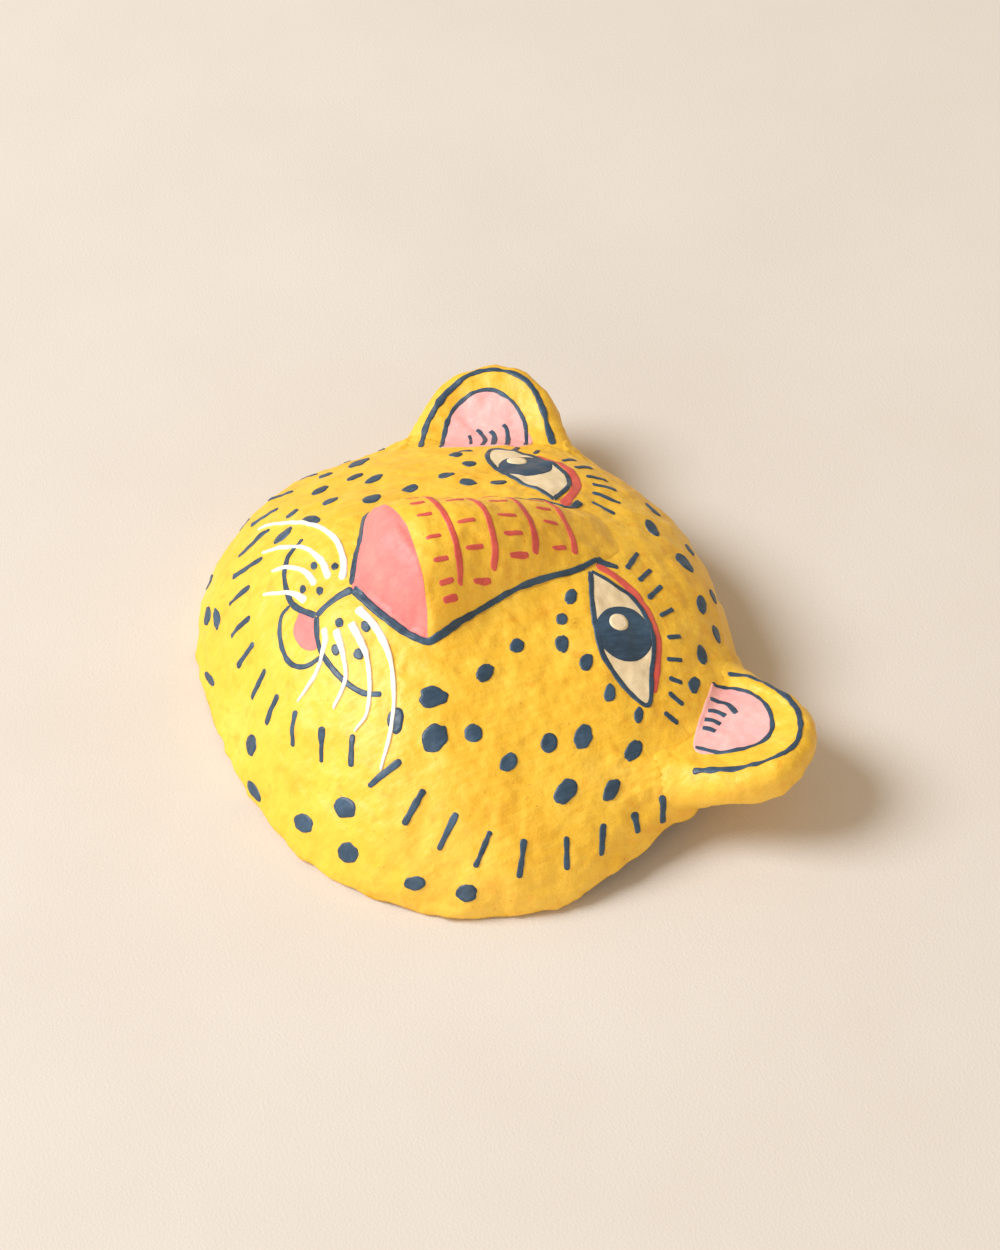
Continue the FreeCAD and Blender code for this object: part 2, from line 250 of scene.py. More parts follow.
def cut_out(points, faces):
    """The points that some of the faces use, and those faces renumbered."""
    used = sorted({i for f in faces for i in f})
    number = {old: new for new, old in enumerate(used)}
    return points[used], [tuple(number[i] for i in f) for f in faces]


def tree_of(points, faces):
    return BVHTree.FromPolygons([Vector(p) for p in points], faces)


# ---- the unevenness of hand-laid paper
LUMP_GAIN = 1.6
# Layers of lumps: height, size and seed.
PAPER_LAYERS = ((0.70, 26, 11), (0.42, 12, 23), (0.34, 6.5, 37), (0.17, 3.0, 51))
EDGE_LAYERS = ((0.65, 8, 61), (0.36, 3.6, 67))
EDGE_LAYERS_TOP = 12.0
EAR_LAYERS = ((0.75, 13, 0), (0.36, 5.5, 3), (0.16, 2.6, 6))
EAR_SEEDS = {"left": 5, "right": 9}


def lump(point, size, seed):
    """Smooth noise between about -1 and 1 with lumps of a size."""
    return noise.noise(Vector(point) / size + Vector((seed, 0, 0))) * LUMP_GAIN


def layered(point, layers, seed=0):
    return sum(height * lump(point, size, seed + shift) for height, size, shift in layers)


def paper_relief(point):
    """How far hand-laid paper stands off the smooth shape; rougher near the trimmed edge."""
    above = point[2] - edge_height(atan2(point[0], point[1]))
    near_edge = min(max(1 - above / EDGE_LAYERS_TOP, 0.0), 1.0)
    return layered(point, PAPER_LAYERS) + near_edge * layered(point, EDGE_LAYERS)


def normals_of(points, faces):
    """Smooth vertex normals."""
    total = np.zeros_like(points)
    quads = np.array([f if len(f) == 4 else (f[0], f[1], f[2], f[2]) for f in faces])
    a = points[quads[:, 2]] - points[quads[:, 0]]
    b = points[quads[:, 3]] - points[quads[:, 1]]
    flat = np.cross(a, b)
    for k in range(4):
        np.add.at(total, quads[:, k], flat)
    length = np.linalg.norm(total, axis=1)
    return total / np.maximum(length, 1e-9)[:, None]


def roughen(points, faces, relief, share=None):
    """Moves points along their normals by the relief."""
    normals = normals_of(points, faces)
    height = np.array([relief(p) for p in points])
    if share is not None:
        height = height * share
    return points + normals * height[:, None]


# ---- materials
def srgb(red, green, blue):
    """Linear colour from the 0 to 255 values of a paint swatch."""
    linear = [((v / 255 + 0.055) / 1.055) ** 2.4 if v > 10 else v / 255 / 12.92 for v in (red, green, blue)]
    return (*linear, 1.0)


class Nodes:
    """Short calls for building one material's nodes."""

    def __init__(self, name):
        self.material = bpy.data.materials.new(name)
        self.material.use_nodes = True
        self.tree = self.material.node_tree
        self.shader = self.tree.nodes["Principled BSDF"]
        self.place = self.add("ShaderNodeTexCoord", {}).outputs["Object"]

    def add(self, kind, inputs, **values):
        node = self.tree.nodes.new(kind)
        for key, value in values.items():
            setattr(node, key, value)
        self.fill(node, inputs)
        return node

    def fill(self, node, inputs):
        """Links each output that is given to its socket, or sets the socket's own value."""
        for socket, value in inputs.items():
            if hasattr(value, "is_output"):
                self.tree.links.new(value, node.inputs[socket])
            else:
                node.inputs[socket].default_value = value

    def noise(self, size, detail=3.0, rough=0.55, stretch=(1, 1, 1), turn=(0, 0, 0)):
        """Noise with features of a size in millimetres, stretched along an axis if asked."""
        mapping = self.add("ShaderNodeMapping", {
            "Vector": self.place, "Scale": stretch, "Rotation": [radians(v) for v in turn]})
        texture = self.add("ShaderNodeTexNoise", {
            "Vector": mapping.outputs["Vector"], "Scale": 1 / (size * MM),
            "Detail": detail, "Roughness": rough})
        return texture.outputs["Fac"]

    def ramp(self, value, stops):
        node = self.add("ShaderNodeValToRGB", {"Fac": value})
        points = node.color_ramp.elements
        while len(points) < len(stops):
            points.new(0.5)
        for point, (place, colour) in zip(points, stops):
            point.position = place
            point.color = colour
        return node.outputs["Color"]

    def mix(self, share, first, second):
        return self.add("ShaderNodeMix", {0: share, 6: first, 7: second}, data_type="RGBA").outputs[2]

    def bump(self, value, height, below=None):
        """Bumps of a height in millimetres, on top of the ones below."""
        inputs = {"Height": value, "Distance": height * MM, "Strength": 1.0}
        if below is not None:
            inputs["Normal"] = below
        return self.add("ShaderNodeBump", inputs).outputs["Normal"]

    def finish(self, colour, roughness, normal, specular=0.5):
        self.fill(self.shader, {
            "Base Color": colour, "Roughness": roughness, "Specular IOR Level": specular, "Normal": normal})
        return self.material


BLACK = (0, 0, 0, 1)
WHITE = (1, 1, 1, 1)


def grey(value):
    return (value, value, value, 1)


def paint(name, thin, main, thick, roughness, grain):
    """Brushed acrylic over paper pulp: patchy cover, brush streaks and pulp grain."""
    n = Nodes(name)
    thin, main, thick = srgb(*thin), srgb(*main), srgb(*thick)
    patches = n.noise(14, detail=5, rough=0.6)
    brush = n.noise(1.1, detail=4, rough=0.6, stretch=(1, 0.16, 0.5), turn=(0, 0, 28))
    colour = n.ramp(patches, ((0.30, thin), (0.50, main), (0.72, thick)))
    streak = n.ramp(brush, ((0.36, thin), (0.62, thick)))
    colour = n.mix(0.3, colour, streak)
    pulp = n.noise(1.7, detail=4, rough=0.62)
    soft = n.ramp(patches, ((0.2, grey(roughness + 0.07)), (0.8, grey(roughness - 0.07))))
    normal = n.bump(pulp, grain)
    normal = n.bump(brush, 0.10, below=normal)
    return n.finish(colour, soft, normal, specular=0.6)


def yellow_paint():
    """The ground colour: patches, brush streaks, thin ochre dabs and a few dark pits."""
    n = Nodes("yellow_paint")
    patches = n.noise(24, detail=6, rough=0.62)
    colour = n.ramp(patches, (
        (0.28, srgb(242, 178, 22)), (0.44, srgb(252, 197, 38)),
        (0.58, srgb(255, 204, 54)), (0.78, srgb(255, 213, 90))))
    brush = n.noise(1.6, detail=4, rough=0.6, stretch=(1, 0.14, 0.4), turn=(0, 0, 32))
    streak = n.ramp(brush, ((0.40, srgb(243, 182, 20)), (0.60, srgb(255, 212, 78))))
    colour = n.mix(0.22, colour, streak)
    pulp = n.noise(1.8, detail=5, rough=0.6)
    dabs = n.noise(5.5, detail=4, rough=0.58)
    colour = n.mix(n.ramp(dabs, ((0.30, grey(0.5)), (0.43, BLACK))), colour, srgb(244, 168, 14))
    pits = n.noise(1.0, detail=2, rough=0.5)
    colour = n.mix(n.ramp(pits, ((0.22, WHITE), (0.30, BLACK))), colour, srgb(206, 130, 22))
    soft = n.ramp(patches, ((0.2, grey(0.58)), (0.8, grey(0.48))))
    normal = n.bump(dabs, 0.22)
    normal = n.bump(pulp, 0.24, below=normal)
    normal = n.bump(brush, 0.26, below=normal)
    return n.finish(colour, soft, normal, specular=0.9)


def bare_paper(name, light, dark):
    """Torn brown and grey paper strips glued over each other."""
    n = Nodes(name)
    cells = {"Vector": n.place, "Scale": 1 / (22 * MM)}
    strips = n.add("ShaderNodeTexVoronoi", cells, feature="F1", distance="CHEBYCHEV")
    tone = n.add("ShaderNodeSeparateColor", {"Color": strips.outputs["Color"]})
    colour = n.ramp(tone.outputs["Red"], ((0.0, dark), (0.5, light), (1.0, srgb(214, 196, 164))))
    fibres = n.noise(0.9, detail=6, rough=0.7, stretch=(1, 0.3, 1))
    colour = n.mix(0.35, colour, n.ramp(fibres, ((0.3, dark), (0.7, light))))
    glue = n.ramp(n.noise(9, detail=4), ((0.35, grey(0.78)), (0.65, grey(0.5))))
    normal = n.bump(tone.outputs["Red"], 0.5)
    normal = n.bump(fibres, 0.18, below=normal)
    return n.finish(colour, glue, normal, specular=0.3)


def card_board():
    n = Nodes("brown_card")
    waves = {"Vector": n.place, "Scale": 60, "Distortion": 0.6}
    flutes = n.add("ShaderNodeTexWave", waves, wave_type="BANDS", bands_direction="X")
    colour = n.ramp(n.noise(3, detail=6), ((0.3, srgb(150, 112, 72)), (0.7, srgb(186, 148, 104))))
    return n.finish(colour, 0.8, n.bump(flutes.outputs["Fac"], 0.2), specular=0.2)


def galvanised_steel():
    n = Nodes("galvanised_wire")
    spangle = n.noise(1.5, detail=5, rough=0.6)
    colour = n.ramp(spangle, ((0.3, srgb(126, 128, 130)), (0.7, srgb(186, 188, 190))))
    rough = n.ramp(spangle, ((0.3, grey(0.45)), (0.7, grey(0.28))))
    n.fill(n.shader, {"Metallic": 1.0})
    return n.finish(colour, rough, n.bump(n.noise(0.6), 0.03))


YELLOW = yellow_paint()
# Each colour where the paint lies thin, as usual and thick.
NAVY = paint("navy_paint", (66, 98, 128), (44, 72, 98), (32, 56, 80), roughness=0.46, grain=0.14)
ROSE = paint("rose_paint", (250, 150, 142), (248, 134, 132), (244, 122, 124), roughness=0.55, grain=0.22)
RED = paint("coral_paint", (236, 112, 92), (226, 92, 84), (214, 80, 78), roughness=0.5, grain=0.12)
PINK = paint("pale_pink_paint", (253, 196, 194), (252, 184, 184), (250, 172, 176), roughness=0.5, grain=0.2)
CREAM = paint("cream_paint", (248, 232, 200), (243, 224, 188), (236, 212, 172), roughness=0.5, grain=0.14)
IVORY = paint("white_paint", (252, 246, 236), (252, 248, 242), (246, 238, 226), roughness=0.45, grain=0.08)
PAPER = bare_paper("pasted_paper", srgb(190, 164, 124), srgb(156, 128, 92))
PATCH_PAPER = bare_paper("patch_paper", srgb(206, 184, 146), srgb(176, 150, 112))
CARD = card_board()
STEEL = galvanised_steel()


# ---- the plain dome
DOME_ROWS = 60
DOME_COLUMNS = 180


def smooth_dome_tree():
    """The plain dome, whose normals say from where paint is laid on."""
    points = []
    for c in range(DOME_COLUMNS):
        angle = 2 * pi * c / DOME_COLUMNS
        radii, levels = profile_rows(angle, DOME_ROWS)
        points.append([(r * sin(angle), r * cos(angle), z) for r, z in zip(radii, levels)])
    grid = np.array(points).transpose(1, 0, 2).reshape(-1, 3)
    faces = grid_faces(DOME_ROWS, DOME_COLUMNS, closed=True)
    grid = np.vstack((grid, [(0, 0, DOME_HEIGHT)]))
    faces += [(len(grid) - 1, c, (c + 1) % DOME_COLUMNS) for c in range(DOME_COLUMNS)]
    return tree_of(grid, [tuple(reversed(f)) for f in faces])


DOME_TREE = smooth_dome_tree()


# ---- shell
SHELL_COLUMNS = 600
OUTER_ROWS = 150
INNER_ROWS = 60
EDGE_ROWS = 3               # rows on the flat of the edge
EDGE_ROUNDING = 1.1
EDGE_CORNER = (0.25, 0.3)   # in from the outer wall, and up from the flat
EDGE_FLAT_INSET = 0.9       # from either wall to the flat
INNER_EDGE_RISE = 0.6
LIFT_SHARE = 0.84           # the torn edge lifts a little less than the CAD's
INSIDE_SHARE = 0.22         # how much of the outside's unevenness the inside shows
# The torn edge: its mean rise and depth, and the radius, size and seed of its lumps.
RAGGED_RISE, RAGGED_DEPTH = 0.5, 0.8
RAGGED_RADIUS, RAGGED_SIZE, RAGGED_SEED = 90, 8, 71


def shell_points():
    """Rows from under the apex, down the outside, round the edge and up the inside."""
    columns = []
    for i in range(SHELL_COLUMNS):
        angle = 2 * pi * i / SHELL_COLUMNS
        out = np.array((sin(angle), cos(angle)))
        torn = lump((out[0] * RAGGED_RADIUS, out[1] * RAGGED_RADIUS, 0), RAGGED_SIZE, RAGGED_SEED)
        ragged = RAGGED_RISE + RAGGED_DEPTH * torn
        edge = LIFT_SHARE * edge_height(angle) + max(ragged, 0.0)
        radii, levels = map(list, profile_rows(angle, OUTER_ROWS, 0.0, edge + EDGE_ROUNDING))
        in_reach, in_height, in_run = profile(angle, SHELL_THICKNESS, edge + INNER_EDGE_RISE)
        corner_inset, corner_rise = EDGE_CORNER
        radii += [radii[-1] - corner_inset, radii[-1] - EDGE_FLAT_INSET, in_reach[-1] + EDGE_FLAT_INSET]
        levels += [edge + corner_rise, edge, edge]
        stops = np.linspace(in_run[-1], 0, INNER_ROWS + 1)[:-1]
        radii += list(np.interp(stops, in_run, in_reach))
        levels += list(np.interp(stops, in_run, in_height))
        columns.append([(r * out[0], r * out[1], z) for r, z in zip(radii, levels)])
    return np.array(columns).transpose(1, 0, 2)


def build_shell():
    """The whole wall, uneven as laid, and swollen round the feet of the ears."""
    rows = shell_points()
    count, columns = rows.shape[:2]
    points = rows.reshape(-1, 3)
    faces = grid_faces(count, columns, closed=True)
    apex = len(points)
    top, ceiling = (0, 0, DOME_HEIGHT), (0, 0, DOME_HEIGHT - SHELL_THICKNESS)
    points, faces = close_ends(points, faces, count, columns, top, ceiling)
    outside = np.zeros(len(points))
    outside[:OUTER_ROWS * columns] = 1.0
    outside[apex] = 1.0
    inside = np.zeros(len(points))
    inside[(OUTER_ROWS + EDGE_ROWS) * columns:] = 1.0
    points = roughen(points, faces, paper_relief, outside + INSIDE_SHARE * inside)
    normals = normals_of(points, faces)
    for i in range(OUTER_ROWS * columns):
        points[i] += normals[i] * shell_swell(points[i])
    points[:, 2] = np.maximum(points[:, 2], 0.0)
    return points, faces


# ---- nose
NOSE_COLUMNS = 88
SKIRT_COLUMNS = 7
SKIRT_WIDTH = 4.5
BRIDGE_ROWS = 130
PAD_ROWS = 44
NOSE_RUN_OUT = 56.0
# The end on the forehead sinks in two steps: depth, where it starts and over what length.
NOSE_SINK = (1.6, 44.0, 10.0)
NOSE_UNDER = (1.1, 46.0, 9.0)
FOOT_BLEND = ((-22.0, 1.6), (-12.0, 4.0))   # (y, width of the rounding at the foot)
SKIRT_SINK = 0.25
SKIRT_SLOPE = 0.25
NOSE_GRAIN = (4, 83)        # size and seed of its finer lumps
NOSE_GRAIN_HEIGHT = 0.14
NOSE_GRAIN_RISE = 3.0       # height over the shell where they are full
PAD_OVERRUN = 3.0           # how far the pad runs on under the shell
PAD_LEAST = 0.05
# Where the pink pad meets the yellow bridge: (x, y).
BORDER = ((0, -19.0), (17, -20.3), (24, -21.7), (28.3, -23.3), (34, -24.0))


def border_y(x):
    return read_table(BORDER, np.abs(x))


def ease_in(y, depth, start, length):
    return depth * np.clip((y - start) / length, 0.0, 1.0)


def nose_skin_rise(x, y):
    """Nose with its foot smoothed into the shell; its skirt dips just under the shell."""
    half = read_table(NOSE_WIDTHS, np.maximum(y, NOSE_ARCH_Y)) + NOSE_MARGIN
    beside = np.abs(x) - half
    front = NOSE_TIP_Y + PAD_SLOPE * np.abs(x)
    ahead = np.where(y < NOSE_ARCH_Y, front - y, -1.0)
    outside = np.maximum(beside, ahead)
    rise = np.where(outside > 0, -outside, nose_rise(x, y)) - ease_in(y, *NOSE_SINK)
    blend_width = read_table(FOOT_BLEND, y)
    near = np.maximum(blend_width - np.abs(rise), 0.0) / blend_width
    smooth = np.maximum(rise, 0.0) + near ** 2 * blend_width / 4
    return smooth - SKIRT_SINK - SKIRT_SLOPE * np.maximum(outside, 0.0) - ease_in(y, *NOSE_UNDER)


def nose_points(rows, first, last):
    """Rows of points over the nose between two y functions of x."""
    # Shares of the half width, closer together at the steep sides.
    across = np.sin(np.linspace(-pi / 2, pi / 2, NOSE_COLUMNS + 1))
    points = []
    for r in range(rows + 1):
        share = r / rows
        middle = first(0.0) + (last(0.0) - first(0.0)) * share
        half = float(read_table(NOSE_WIDTHS, max(middle, NOSE_ARCH_Y))) + NOSE_MARGIN
        skirt = half + SKIRT_WIDTH * np.arange(1, SKIRT_COLUMNS + 1) / SKIRT_COLUMNS
        x = np.concatenate((-skirt[::-1], across * half, skirt))
        y = first(x) + (last(x) - first(x)) * share
        points.append(np.stack((x, y, dome_height(x, y) + nose_skin_rise(x, y)), axis=1))
    return np.array(points)


def nose_mesh(rows, first, last):
    """Skin over the nose between two borders, as uneven as the shell under it."""
    grid = nose_points(rows, first, last)
    count, columns = grid.shape[:2]
    points = grid.reshape(-1, 3)
    faces = [tuple(reversed(f)) for f in grid_faces(count, columns)]
    relief = []
    for p in points:
        ground = (p[0], p[1], float(dome_height(p[0], p[1])))
        share = min(max((p[2] - ground[2]) / NOSE_GRAIN_RISE, 0.0), 1.0)
        relief.append(paper_relief(ground) + NOSE_GRAIN_HEIGHT * share * lump(p, *NOSE_GRAIN))
    return points + normals_of(points, faces) * np.array(relief)[:, None], faces


def pad_front(x):
    """The edge of the pad, under the shell ahead of its V."""
    return np.minimum(NOSE_TIP_Y + PAD_SLOPE * np.abs(x) - PAD_OVERRUN, border_y(x) - PAD_LEAST)


def nose_end(x):
    return NOSE_RUN_OUT + 0.0 * x


# ---- ears
EAR_RAYS = 220
EAR_FACE_RINGS = 34
EAR_BACK_RINGS = 17
EAR_ROUND_RINGS = 6
EAR_MIDDLE = 6.0            # middle of the rings, out from the root line
EAR_FAR = 80.0              # beyond its outline from there
EAR_HALVINGS = 30
EAR_DISH = 1.6              # how deep its face is dished
EAR_SINK = 1.4              # how deep its hidden foot lies under the shell's surface
ROOT_ROUNDNESS = 2.6
ROOT_DIP = 0.012
# How far paper laid over the joint reaches: on the ear's face, and at its edge and back.
JOIN_REACH = 8.0
SIDE_JOIN_REACH = 20.0


def ear_matrix(key):
    """X across the ear, Y to its tip, Z out of its face; mirrored on the right."""
    side, angle, root, height, tilt, roll = EARS[key]
    a, t, r = radians(angle), radians(tilt), radians(roll)
    out = Vector((sin(a) * cos(t), cos(a) * cos(t), sin(t)))
    across = Vector((cos(a), -sin(a), 0.0))
    across = across * cos(r) + across.cross(out) * sin(r)
    normal = across.cross(out)
    base = Vector((sin(a) * root, cos(a) * root, height))
    matrix = Matrix((across, out, normal)).transposed().to_4x4()
    matrix.translation = base
    if side < 0:
        matrix = Matrix.Diagonal((-1, 1, 1, 1)) @ matrix
    return matrix


def ear_reach(turn):
    """Distance from the ear's middle to its outline along a ray; 0 is +X, a quarter turn is the tip."""
    direction = np.array((cos(turn), sin(turn)))
    low, high = 0.0, EAR_FAR
    for _ in range(EAR_HALVINGS):
        mid = (low + high) / 2
        x = direction[0] * mid
        y = direction[1] * mid + EAR_MIDDLE
        power = ROOT_ROUNDNESS if y < 0 else EAR_ROUNDNESS
        length = EAR_ROOT_DEPTH if y < 0 else EAR_LENGTH
        inside = (abs(x) / EAR_HALF_WIDTH) ** power + (abs(y) / length) ** power < 1
        if inside:
            low = mid
        else:
            high = mid
    return low


def ear_rings():
    """Share of the flat part, reach beyond it and height: over the face, round the edge, along the back."""
    r = EAR_EDGE_RADIUS
    turns = [pi / 2 * k / EAR_ROUND_RINGS for k in range(1, EAR_ROUND_RINGS + 1)]
    shares = [k / EAR_FACE_RINGS for k in range(1, EAR_FACE_RINGS + 1)]
    rings = [(share, 0.0, -EAR_DISH * (1 - share ** 3)) for share in shares]
    rings += [(1.0, r * sin(turn), -r * (1 - cos(turn))) for turn in turns]
    rings += [(1.0, r * cos(turn), -EAR_THICKNESS + r * (1 - sin(turn))) for turn in turns]
    rings += [(1 - k / EAR_BACK_RINGS, 0.0, -EAR_THICKNESS) for k in range(1, EAR_BACK_RINGS)]
    return rings


def ear_local_points():
    turns = [2 * pi * i / EAR_RAYS for i in range(EAR_RAYS)]
    flats = [ear_reach(turn) - EAR_EDGE_RADIUS for turn in turns]
    points = []
    for share, beyond, height in ear_rings():
        for turn, flat in zip(turns, flats):
            distance = flat * share + beyond
            y = distance * sin(turn) + EAR_MIDDLE
            points.append((distance * cos(turn), y, height - ROOT_DIP * min(y, 0.0) ** 2))
    return points


def ear_slab(key):
    """The rough slab of an ear, before its foot is blended into the face."""
    matrix = ear_matrix(key)
    points = np.array([matrix @ Vector(p) for p in ear_local_points()])
    front = matrix @ Vector((0.0, EAR_MIDDLE, -EAR_DISH))
    back = matrix @ Vector((0.0, EAR_MIDDLE, -EAR_THICKNESS))
    count = len(points) // EAR_RAYS
    faces = grid_faces(count, EAR_RAYS, closed=True)
    points, faces = close_ends(points, faces, count, EAR_RAYS, front, back)
    return roughen(points, faces, lambda p: layered(p, EAR_LAYERS, EAR_SEEDS[key])), faces


def ear_up(key):
    """Straight out of an ear's face."""
    return (ear_matrix(key).to_3x3() @ Vector((0, 0, 1))).normalized()


def join_swell(gap, normal, key):
    """How far paper over the joint lifts a surface that is a gap away from the other piece."""
    sideways = 1 - max(normal.dot(ear_up(key)), 0.0)
    reach = JOIN_REACH + (SIDE_JOIN_REACH - JOIN_REACH) * sideways
    share = max(1 - abs(gap) / reach, 0.0)
    return reach / 4 * share ** 2


def shell_swell(point):
    """Lift of the shell round the feet of the ears."""
    most = 0.0
    for key, tree in SLAB_TREES.items():
        foot, normal, _, distance = tree.find_nearest(Vector(point), SIDE_JOIN_REACH)
        if foot is not None:
            gap = copysign(distance, (Vector(point) - foot).dot(normal))
            most = max(most, join_swell(gap, normal, key))
    return most


def build_ear(key):
    """Ear blended into the face; what lies inside the shell stays within its wall."""
    points, faces = SLABS[key]
    outward = (ear_matrix(key).to_3x3() @ Vector((0, 1, 0))).normalized()
    moved = []
    for p, n in zip(points, normals_of(points, faces)):
        place, away = Vector(p), Vector(n)
        foot, up, _, _ = DOME_TREE.find_nearest(place)
        place = place + away * join_swell((place - foot).dot(up), away, key)
        foot, up, _, _ = DOME_TREE.find_nearest(place)
        if (place - foot).dot(up) < -EAR_SINK:
            foot, up, _, _ = DOME_TREE.ray_cast(place, outward)
            place = foot - up * EAR_SINK
        moved.append(place)
    return np.array(moved), faces


# ---- the main surfaces
SLABS = {key: ear_slab(key) for key in EARS}
SLAB_TREES = {key: tree_of(*mesh) for key, mesh in SLABS.items()}
shell = build_shell()
bridge = nose_mesh(BRIDGE_ROWS, border_y, nose_end)
pad = nose_mesh(PAD_ROWS, pad_front, border_y)
ears = {key: build_ear(key) for key in EARS}
# Paint runs round the edge to the last row of its flat; the lining starts there.
first_inside = (OUTER_ROWS + EDGE_ROWS - 1) * SHELL_COLUMNS
painted = [f for f in shell[1] if min(f) < first_inside]
bare = [f for f in shell[1] if min(f) >= first_inside]
make_piece("face_shell_skin", *cut_out(shell[0], painted), YELLOW, "painted_shell", ["face_shell"])
make_piece("face_shell_lining", *cut_out(shell[0], bare), PAPER, "bare_paper")
make_piece("nose_bridge_skin", *bridge, YELLOW, "painted_nose", ["nose_bridge", "nose_fillet"])
make_piece("nose_pad_skin", *pad, ROSE, "pink_pad", ["nose_pad"])
for key, mesh in ears.items():
    make_piece(f"ear_{key}_skin", *mesh, YELLOW, "painted_ears", [f"ear_{key}", f"ear_fillet_{key}"])


# ---- laying paint on the surface
FACE_TREE = tree_of(*joined([shell, bridge, pad]))
CAST = 14.0                 # how far past a place the paint is looked for


class Surface:
    """Where paint is laid: each point drops onto a tree, from above it along the direction."""

    def __init__(self, tree, above):
        self.tree = tree
        self.above = above

    def lay(self, point, height):
        up = self.direction(point)
        hit, normal, _, _ = self.tree.ray_cast(point + up * self.above, -up, self.above + CAST)
        if hit is None:
            hit, normal, _, _ = self.tree.find_nearest(point)
        if normal.dot(up) < 0:
            normal = -normal
        return hit + normal * height


class FaceSurface(Surface):
    """Places on the face are (x, y) seen from the front."""

    def start(self, place):
        x, y = place
        return Vector((x, y, float(dome_height(x, y))))

    def direction(self, point):
        return DOME_TREE.find_nearest(point)[1]


class NoseSurface(FaceSurface):
    """Places on the nose are (x, y) seen from the front, and paint drops from straight in front."""

    def direction(self, point):
        return Vector((0, 0, 1))


class RimSurface(FaceSurface):
    """Places near the rim are (degrees from the forehead, millimetres up from the edge)."""

    def start(self, place):
        angle = radians(place[0])
        reach, height, run = profile(angle)
        at = run[-1] - place[1]
        r, z = float(np.interp(at, run, reach)), float(np.interp(at, run, height))
        return Vector((r * sin(angle), r * cos(angle), z))


class EarSurface(Surface):
    """Places on an ear are (x across, y from its root line to its tip)."""

    def __init__(self, key):
        super().__init__(tree_of(*joined([shell, ears[key]])), CAST)
        self.matrix = ear_matrix(key)
        self.up = ear_up(key)

    def start(self, place):
        return self.matrix @ Vector((place[0], place[1], 0))

    def direction(self, point):
        return self.up


FACE = FaceSurface(FACE_TREE, 2 * CAST)
NOSE = NoseSurface(FACE_TREE, 2 * CAST)
RIM = RimSurface(FACE_TREE, 2 * CAST)
EAR_FACES = {key: EarSurface(key) for key in EARS}

EDGE_DIP = -0.10            # the edge of a coat lies this far into the surface
CURVE_STEPS = 16            # samples between two places of a path, before they are spaced evenly
STROKE_STEP = 0.6
FILL_STEP = 0.8
FILL_EDGE = 0.15
TIP_LEAST = 0.02
DRIFT_SHARE = 0.25
# Sizes and seeds of the lumps that make a stroke uneven.
FINE_WOBBLE, BROAD_WOBBLE, DRIFT = (2.6, 7), (9.0, 3), (5.0, 41)
# A spot has this many points to a millimetre of its length, and rings this far apart.
SPOT_DENSITY, SPOT_LEAST = 3.5, 36
SPOT_RING, SPOT_RINGS_LEAST = 2.4, 3
SPOT_SHOULDER = 0.94
SPOT_LUMPS, SPOT_NICKS = (1.5, 17), (0.5, 29)
NICK_SHARE = 0.5
# A spot turns from +X, or from +Y on a surface that faces nearly along X, towards the forehead.
SIDEWAYS_LEAST = 0.3
BACKWARDS_MOST = 0.2
# Across a stroke: share of the half width, and whether the paint stands up there.
STROKE_SECTION = ((-1.0, 0), (-0.86, 1), (-0.45, 1), (0.0, 1), (0.45, 1), (0.86, 1), (1.0, 0))


def smooth_path(points, step):
    """Evenly spaced points on a Catmull-Rom curve through the given ones, and its length."""
    ends = [points[0] * 2 - points[1]] + list(points) + [points[-1] * 2 - points[-2]]
    dense = []
    for a, b, c, d in zip(ends, ends[1:], ends[2:], ends[3:]):
        for i in range(CURVE_STEPS):
            t = i / CURVE_STEPS
            dense.append(0.5 * ((2 * b) + (c - a) * t + (2 * a - 5 * b + 4 * c - d) * t * t
                                + (3 * b - a - 3 * c + d) * t ** 3))
    dense.append(points[-1])
    run = [0.0]
    for a, b in zip(dense, dense[1:]):
        run.append(run[-1] + (b - a).length)
    count = max(int(run[-1] / step), 3)
    at = np.linspace(0, run[-1], count + 1)
    coordinates = np.array([tuple(p) for p in dense])
    return [Vector([float(np.interp(s, run, coordinates[:, k])) for k in range(3)]) for s in at], run[-1]


